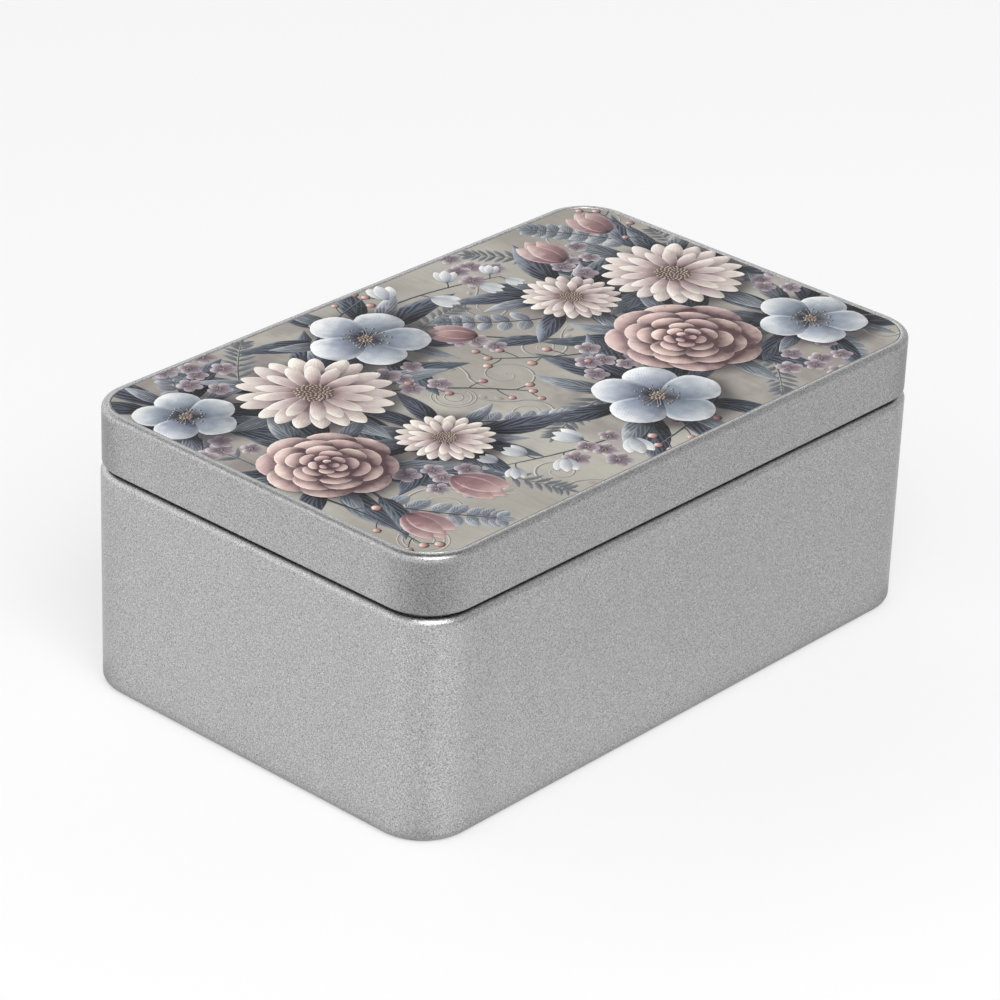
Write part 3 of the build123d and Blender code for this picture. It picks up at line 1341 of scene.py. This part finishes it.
    def ground(self, ink: Ink) -> None:
        """Lays the ground sheet, with the blossoms' soft shade and a haze of colour round the sprays.

        Args:
            ink: The relief that it goes in.
        """
        half_length, half_width = self.outline.half_length, self.outline.half_width
        columns, rows = round(2 * half_length / self.cell), round(2 * half_width / self.cell)
        made = bmesh.ops.create_grid(ink.sheet, x_segments=columns, y_segments=rows, size=1.0,
                                     calc_uvs=True)
        for vert in made["verts"]:
            place = Vector((vert.co.x * half_length, vert.co.y * half_width))
            haze = max(math.exp(-((place - b.place).length / b.size) ** 2 * self.haze_fall)
                       for b in self.blossoms)
            ink.put(vert, place, Tier.GROUND.value, 1.0, haze)

    def tendrils(self, ink: Ink) -> None:
        """Lays the curled tendrils, each with a tail and buds, and the rings, faint on the open ground.

        Args:
            ink: The relief that they go in.
        """
        low = Tier.SCROLL.value
        for curl in self.curls:
            path = curl.path()
            tail = path[0] + heading(curl.start - curl.way * self.tail_angle) * curl.radius * self.tail
            self.tendril.trace(ink, path, low + STEP, self.chance)
            self.line(ink, path[0], tail, -curl.way * self.tail_bend, self.tendril, low)
            for share in self.buds:
                angle = curl.start - curl.way * (self.tail_angle - self.bud_turn * share)
                root = path[0].lerp(tail, share)
                OVAL_LEAF.lay(ink, root, angle, curl.radius * self.bud, low, self.chance, self.bud_bend)
        for x, y, radius in self.hoops:
            for share in self.hoop_lines:
                path = [Vector((x, y)) + heading(6 * step) * radius * share for step in range(61)]
                self.hoop.trace(ink, path, low + 2 * STEP, self.chance)

    def leaves(self, ink: Ink, tier: Tier, count: int, sizes: Span, offset: float) -> None:
        """Lays leaves that come out from under each large blossom.

        Args:
            ink: The relief that they go in.
            tier: The layer that they lie in.
            count: Leaves to a blossom.
            sizes: Least and greatest length that shows.
            offset: Turn of the whole set, in degrees.
        """
        for blossom in self.blossoms:
            for leaf in range(count):
                angle = offset + blossom.turn * 2 + 360 * (leaf + self.swing(self.leaf_scatter)) / count
                root = blossom.place + heading(angle) * blossom.size * self.leaf_root
                length = self.chance.uniform(*sizes) + blossom.size * self.leaf_tuck
                LANCE_LEAF.lay(ink, root, angle + self.swing(self.leaf_swing), length, self.step_up(tier),
                               self.chance, self.swing(self.leaf_bend), self.leaf_cover)

    def sprig(self, stems: Ink, leaves: Ink, stalk: Stalk, blade: Blade, spread: float) -> None:
        """Lays a stalk with leaves in pairs and one at its tip.

        Args:
            stems: The relief that the stalk goes in.
            leaves: The relief that the leaves go in.
            stalk: The stalk.
            blade: The leaves' form.
            spread: Angle between a leaf and the stalk, in degrees.
        """
        path = self.stem(stems, stalk, self.sprig_pen, steps=stalk.count + 3)
        for number in range(2, len(path) - 1):
            angle = bearing(path[number + 1] - path[number - 1])
            length = stalk.size * (1 - self.sprig_taper * number / len(path))
            for way in (-1, 1):
                blade.lay(leaves, path[number], angle + way * spread + self.swing(self.sprig_swing), length,
                          self.step_up(Tier.FERN), self.chance, -way * self.sprig_bend)
        blade.lay(leaves, path[-1], bearing(path[-1] - path[-2]), stalk.size * self.sprig_tip,
                  self.step_up(Tier.FERN), self.chance)

    def tulips(self, stems: Ink, petals: Ink, leaves: Ink) -> None:
        """Lays the tulips, seen from the side on long stalks, each with a leaf that clasps its stalk.

        Args:
            stems: The relief that the stalks go in.
            petals: The relief that the petals go in.
            leaves: The relief that the leaves go in.
        """
        for stalk in self.tulip_stalks:
            path = self.stem(stems, stalk, self.tulip_pen)
            ahead = path[-1] - path[-3]
            angle = bearing(ahead)
            root = path[-1] - ahead.normalized() * self.tulip_overlap
            for number, (lean, length, turn) in enumerate(self.tulip_petals):
                lift = Tier.SMALL.value + number * STEP
                CUP_PETAL.lay(petals, root, angle + lean, stalk.size * length, lift, self.chance, turn,
                              tint=number / len(self.tulip_petals))
            LANCE_LEAF.lay(leaves, path[len(path) // 3], angle + math.copysign(self.clasp, stalk.bend),
                           stalk.size * self.clasp_length, self.step_up(Tier.LOW_LEAF), self.chance,
                           -math.copysign(self.clasp_bend, stalk.bend))

    def bells(self, stems: Ink, petals: Ink) -> None:
        """Lays the arching stalks with small hanging bells, which get smaller towards the tip.

        Args:
            stems: The relief that the stalks go in.
            petals: The relief that the bells go in.
        """
        for stalk in self.bell_stalks:
            path = self.stem(stems, stalk, self.bell_pen, steps=stalk.count * 3 + 2)
            for bell in range(stalk.count):
                foot = path[3 * bell + 3]
                way = -1 if bell % 2 else 1
                size = self.bell_size - self.bell_taper * bell / stalk.count
                angle = bearing((path[3 * bell + 4] - foot).normalized()) + way * self.bell_angle
                neck = foot + heading(angle) * size * self.bell_neck
                self.line(stems, foot, neck, -way * self.neck_bend, self.neck_pen, self.stalk_up(), 5)
                for number, (lean, length, turn) in enumerate(self.bell_petals):
                    lift = Tier.SMALL.value + (number + 3 * (bell % 2)) * STEP
                    BELL_PETAL.lay(petals, neck, angle + lean, size * length, lift, self.chance, turn)

    def berries(self, stems: Ink, beads: Ink) -> None:
        """Lays the forked stalks with a berry on every twig.

        Args:
            stems: The relief that the stalks go in.
            beads: The relief that the berries go in.
        """
        for stalk in self.berry_stalks:
            path = self.stem(stems, stalk, self.berry_pen, Tier.BERRY_STEM, stalk.count + 2)
            for twig in range(1, stalk.count + 2):
                way = 1 if twig % 2 else -1
                angle = bearing(path[min(twig + 1, len(path) - 1)] - path[twig - 1]) + way * self.twig_angle
                tip = path[twig] + heading(angle) * self.chance.uniform(*self.twig_lengths)
                self.line(stems, path[twig], tip, way * self.twig_bend, self.twig_pen,
                          self.stalk_up(Tier.BERRY_STEM), 6)
                beads.bead(tip, self.chance.uniform(*self.berry_radii), Tier.BERRY.value, self.berry_height,
                           self.chance.random())
            beads.bead(path[-1], self.last_berry, Tier.BERRY.value, self.berry_height, self.chance.random())

    def specks(self, petals: Ink, hearts: Ink) -> None:
        """Lays the clusters of very small blossoms.

        Args:
            petals: The relief that the petals go in.
            hearts: The relief that their middles go in.
        """
        for x, y, count in self.speck_groups:
            for number in range(count):
                out = self.speck_gap * math.sqrt(number)
                place = Vector((x, y)) + heading(number * GOLDEN_ANGLE + x) * out
                tier = (Tier.SPECK, Tier.HIGH_SPECK)[number % 2]
                extra = self.fine_step * (number // 2 % self.speck_levels)
                size = self.chance.uniform(*self.speck_sizes)
                speck = Blossom(Kind.SPECK, place.x, place.y, size, self.chance.uniform(0, 72), tier, extra)
                speck.petals(petals, self.chance)
                speck.heart(hearts, self.chance)

    def stamens(self, stamens: Ink, blossom: Blossom) -> None:
        """Lays a ring of stamens round a blossom's middle, each with its bead.

        Args:
            stamens: The relief that they go in.
            blossom: The blossom.
        """
        lift = blossom.tier.value + blossom.LEVELS * STEP
        for number in range(self.stamens_each):
            angle = blossom.turn + number * 360 / self.stamens_each + self.swing(self.stamen_swing)
            reach = blossom.size / 2 * self.chance.uniform(*self.stamen_reach)
            tip = blossom.place + heading(angle) * reach
            self.line(stamens, blossom.place, tip, self.swing(self.stamen_bend), self.stamen_pen, lift, 4)
            stamens.bead(tip, self.chance.uniform(*self.stamen_beads), lift, self.stamen_height,
                         self.chance.random())

    def build(self) -> None:
        """Makes every piece of the print, dresses it and reports it."""
        inks = {name: Ink("print_" + name, self.plate_top, self.outline, self.covers) for name in PRINTS}
        self.ground(inks["ground"])
        self.tendrils(inks["tendrils"])
        self.leaves(inks["dark_leaves"], Tier.LOW_LEAF, 7, (13, 25), 0)
        self.leaves(inks["pale_leaves"], Tier.HIGH_LEAF, 5, (8, 18), 25)
        for stalk in self.fern_fronds:
            self.sprig(inks["ferns"], inks["ferns"], stalk, LEAFLET, 52)
        for stalk in self.leaf_sprigs:
            self.sprig(inks["stems"], inks["pale_leaves"], stalk, OVAL_LEAF, 58)
        self.tulips(inks["stems"], inks["tulips"], inks["dark_leaves"])
        self.bells(inks["stems"], inks["bells"])
        self.berries(inks["stems"], inks["berries"])
        self.specks(inks["specks"], inks["hearts"])
        petals = {Kind.DAISY: inks["daisies"], Kind.CAMELLIA: inks["camellias"], Kind.FLAX: inks["flax"]}
        for blossom in self.blossoms:
            blossom.petals(petals[blossom.kind], self.chance)
            if blossom.kind is Kind.FLAX:
                self.stamens(inks["stamens"], blossom)
            if blossom.kind in HEARTS:
                blossom.heart(inks["hearts"], self.chance)
        for name, ink in inks.items():
            ink.finish(PRINTS[name].material("print_" + name))


@dataclass
class Viewpoint:
    """The camera, fitted to the box's outline. Angles are in degrees, and across and up shift it."""

    azimuth: float = -48.27
    elevation: float = 27.36
    roll: float = 2.13
    distance: float = 1.1406
    lens: float = 150.4
    nearest: float = 0.05
    across: float = -2.61 * MM
    up: float = 0.52 * MM

    def build(self, centre: Vector) -> None:
        """Makes the camera and sets it as the scene's.

        Args:
            centre: The middle of the object, which the azimuth and elevation are taken about.
        """
        azimuth, elevation, roll = (math.radians(a) for a in (self.azimuth, self.elevation, self.roll))
        level = math.cos(elevation)
        back = Vector((math.sin(azimuth) * level, -math.cos(azimuth) * level, math.sin(elevation)))
        right = Vector((0, 0, 1)).cross(back).normalized()
        above = back.cross(right)
        axis_x = right * math.cos(roll) + above * math.sin(roll)
        axis_y = above * math.cos(roll) - right * math.sin(roll)
        place = centre + back * self.distance + axis_x * self.across + axis_y * self.up
        turn = Matrix((axis_x, axis_y, back)).transposed()
        lens = bpy.data.cameras.new("camera")
        lens.lens = self.lens
        lens.clip_start = self.nearest
        camera = bpy.data.objects.new("camera", lens)
        camera.matrix_world = Matrix.Translation(place) @ turn.to_4x4()
        bpy.context.scene.collection.objects.link(camera)
        bpy.context.scene.camera = camera


@dataclass
class Studio:
    """A pale floor, a world that is bright near the horizon and dim overhead, and one large soft lamp.

    The side that the light comes from is the left one as the camera sees it, behind the box. The gloss
    values paint reflections of the floor brighter towards that side, and the foot values say how far and how
    deep a painted shade darkens them beside the box.
    """

    footprint: Span
    floor_size: float = 12.0
    floor_colour: Colour = (0.985, 0.985, 0.985)
    camera_glow: float = 0.5
    gloss_glow: float = 0.15
    gloss_range: Span = (-0.22, -0.01)
    gloss_sides: Span = (0.81, 1.0)
    foot_reach: float = 7.0 * MM
    foot_shade: float = 0.28
    bright_side: tuple[float, float, float] = (-0.65, 0.76, 0.0)
    low_light: Span = (0.60, 1.3)
    high_light: float = 0.27
    band_edges: Span = (0.66, 0.80)
    lamp_place: tuple[float, float, float] = (-0.75, -1.15, 1.55)
    lamp_size: float = 1.3
    lamp_watts: float = 24.0

    def build(self) -> None:
        """Makes the floor, the world and the lamp."""
        self.floor()
        self.world()
        self.lamp()

    def towards_light(self, nodes: Nodes, place: Socket, ends: Span) -> Socket:
        """Says how far a place lies towards the bright side.

        Args:
            nodes: The tree that the nodes go in.
            place: A position or a direction.
            ends: Where along the way to the bright side the value starts to rise, and where it is full.

        Returns:
            A value from 0 to 1.
        """
        along = nodes.vector("DOT_PRODUCT", place, self.bright_side)["Value"]
        return nodes.remap(along, *ends, 0.0, 1.0, smooth=True)

    def painted_foot_shade(self, nodes: Nodes) -> Socket:
        """Says how bright reflections see the floor beside the box's foot, where a painted shade darkens it.

        Args:
            nodes: The tree that the nodes go in.

        Returns:
            A value that is 1 away from the foot.
        """
        place = nodes.add("SeparateXYZ", {0: nodes.add("TexCoord").outputs["Object"]}).outputs
        past = [nodes.maths("SUBTRACT", nodes.maths("ABSOLUTE", place[axis]), half)
                for axis, half in zip("XY", self.footprint)]
        return nodes.remap(nodes.maths("MAXIMUM", *past), 0.0, self.foot_reach, 1 - self.foot_shade, 1.0)

    def floor(self) -> None:
        """Makes the floor, which keeps the shadow and shows plain white behind the object."""
        mesh = bpy.data.meshes.new("floor")
        sheet = bmesh.new()
        bmesh.ops.create_grid(sheet, x_segments=1, y_segments=1, size=self.floor_size / 2)
        sheet.to_mesh(mesh)
        sheet.free()
        floor = bpy.data.objects.new("floor", mesh)
        bpy.context.scene.collection.objects.link(floor)
        floor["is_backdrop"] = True
        mesh.materials.append(self.floor_paint())

    def floor_paint(self) -> Material:
        """Builds the floor's material: diffuse to light, partly glowing to the camera and to reflections.

        Returns:
            The finished material.
        """
        made = bpy.data.materials.new("floor_paint")
        made.use_nodes = True
        nodes = Nodes(made.node_tree)
        nodes.tree.nodes.remove(nodes.tree.nodes["Principled BSDF"])
        ray = nodes.add("LightPath").outputs
        gloss = nodes.maths("MAXIMUM", ray["Is Glossy Ray"], ray["Is Transmission Ray"])
        # reflections see the floor with painted light: brighter towards the bright side, and with painted
        # shade beside the foot
        side = self.towards_light(nodes, nodes.add("TexCoord").outputs["Object"], self.gloss_range)
        level = nodes.remap(side, 0.0, 1.0, *self.gloss_sides)
        level = nodes.maths("MULTIPLY", level, self.painted_foot_shade(nodes))
        level = nodes.remap(gloss, 0.0, 1.0, 1.0, level)
        colour = nodes.blend(1.0, linear(self.floor_colour), level, "MULTIPLY")
        matt = nodes.add("BsdfDiffuse", {"Color": colour}).outputs[0]
        glow = nodes.add("Emission", {"Color": (1, 1, 1, 1), "Strength": level}).outputs[0]
        share = nodes.maths("MULTIPLY", ray["Is Camera Ray"], self.camera_glow)
        share = nodes.maths("MULTIPLY_ADD", gloss, self.gloss_glow, share)
        mixed = nodes.add("MixShader", {0: share, 1: matt, 2: glow}).outputs[0]
        nodes.fill(nodes.tree.nodes["Material Output"].inputs["Surface"], mixed)
        return made

    def world(self) -> None:
        """Sets the world: a bright band near the horizon, dimmer above it, and white to the camera."""
        world = bpy.data.worlds.new("studio")
        bpy.context.scene.world = world
        world.use_nodes = True
        nodes = Nodes(world.node_tree)
        direction = nodes.add("TexCoord").outputs["Generated"]
        height = nodes.add("SeparateXYZ", {0: direction}).outputs["Z"]
        side = self.towards_light(nodes, direction, (-1.0, 1.0))
        low_light = nodes.remap(side, 0.0, 1.0, *self.low_light)
        light = nodes.remap(height, *self.band_edges, low_light, self.high_light, smooth=True)
        seen = nodes.add("LightPath").outputs["Is Camera Ray"]
        sky = nodes.tree.nodes["Background"].inputs
        nodes.fill(sky["Strength"], nodes.maths("MAXIMUM", light, seen))
        nodes.fill(sky["Color"], (1, 1, 1, 1))

    def lamp(self) -> None:
        """Makes the soft lamp, square and facing the middle of the object's foot."""
        light = bpy.data.lights.new("soft_lamp", "AREA")
        light.size = self.lamp_size
        light.energy = self.lamp_watts
        lamp = bpy.data.objects.new("soft_lamp", light)
        lamp.location = self.lamp_place
        lamp.rotation_euler = Vector(self.lamp_place).to_track_quat("Z", "Y").to_euler()
        bpy.context.scene.collection.objects.link(lamp)


@dataclass
class Tin:
    """The sheet-metal pieces, whose shapes come with the frame and which take their finishes here.

    Streaks of painted light and shade are listed by corner, after its side along X and along Y.
    """

    wall_fade: Span = (61.5 * MM, 64.0 * MM)
    # the wall's corner streaks: painted light and painted shade
    wall_streaks: Streaks = (
        (-1, -1, (Streak(-24.0, 9.0, -0.014), Streak(-8.5, 5.0, 0.012), Streak(-2.0, 5.5, -0.06),
                  Streak(6.0, 5.5, 0.075), Streak(17.0, 7.0, -0.036))),
        (-1, 1, (Streak(-3.0, 17.0, -0.07), Streak(-5.0, 8.0, -0.065))),
        (1, -1, (Streak(10.5, 9.0, -0.025), Streak(6.0, 7.0, -0.04))),
        (1, 1, (Streak(-8.5, 5.0, 0.012), Streak(-2.0, 5.5, -0.06), Streak(6.0, 5.5, 0.075))),
    )
    lid_fade: Span = (80.4 * MM, 81.8 * MM)
    # the lid's corner streaks: painted shade, deepest in the middle of each rounded corner
    lid_streaks: Streaks = (
        (-1, -1, (Streak(-1.2, 14.6, -0.405),)),
        (-1, 1, (Streak(-1.0, 14.6, -0.45), Streak(-9.0, 12.0, -0.042))),
        (1, -1, (Streak(0.75, 14.6, -0.42), Streak(5.0, 8.0, -0.05))),
        (1, 1, (Streak(0.0, 14.6, -0.41),)),
    )

    def finishes(self) -> dict[str, SatinTin | AdhesiveFilm]:
        """Chooses the finish of each piece.

        Returns:
            The finishes by the pieces' names.
        """
        wall, lid = (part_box(name)[1][:2] for name in ("body_wall", "lid_shell"))
        wall_tones = [PaintedCornerStreaks(x, y, *wall, lines, self.wall_fade) for x, y, lines in self.wall_streaks]
        lid_tones = [PaintedCornerStreaks(x, y, *lid, lines, self.lid_fade) for x, y, lines in self.lid_streaks]
        return {
            "body_wall": SatinTin(tones=tuple(wall_tones)),
            "bottom_panel": SatinTin(name="satin_tin_bottom", colour=(0.72, 0.72, 0.715), roughness=0.33,
                                     contrast=2.2),
            # the lid's colour is the wall's lacquer made darker, as painted shade
            "lid_shell": SatinTin(name="satin_tin_lid", colour=(0.675, 0.675, 0.675),
                                  tones=(*lid_tones, PaintedRimLight(*lid))),
            "adhesive_sheet": AdhesiveFilm(),
            "print_plate": SatinTin(name="plate_metal", colour=(0.74, 0.74, 0.74), contrast=1.2),
        }

    def dress(self) -> None:
        """Gives each piece its finish."""
        for name, finish in self.finishes().items():
            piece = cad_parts[name]
            piece.data.materials.clear()
            piece.data.materials.append(finish.material())
            LOG.info("dressed %s", name)


def main() -> None:
    """Builds the whole scene in order."""
    logging.basicConfig(level=logging.INFO, format="%(message)s")
    cad_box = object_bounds()
    bpy.context.scene.view_settings.view_transform = "Standard"
    low, high = (Vector(corner) for corner in cad_box)
    Viewpoint().build((low + high) / 2)
    Studio(footprint=tuple(high[:2])).build()
    Tin().dress()
    Artwork(plate_top=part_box("print_plate")[1][2]).build()


if __name__ == "__main__":
    main()
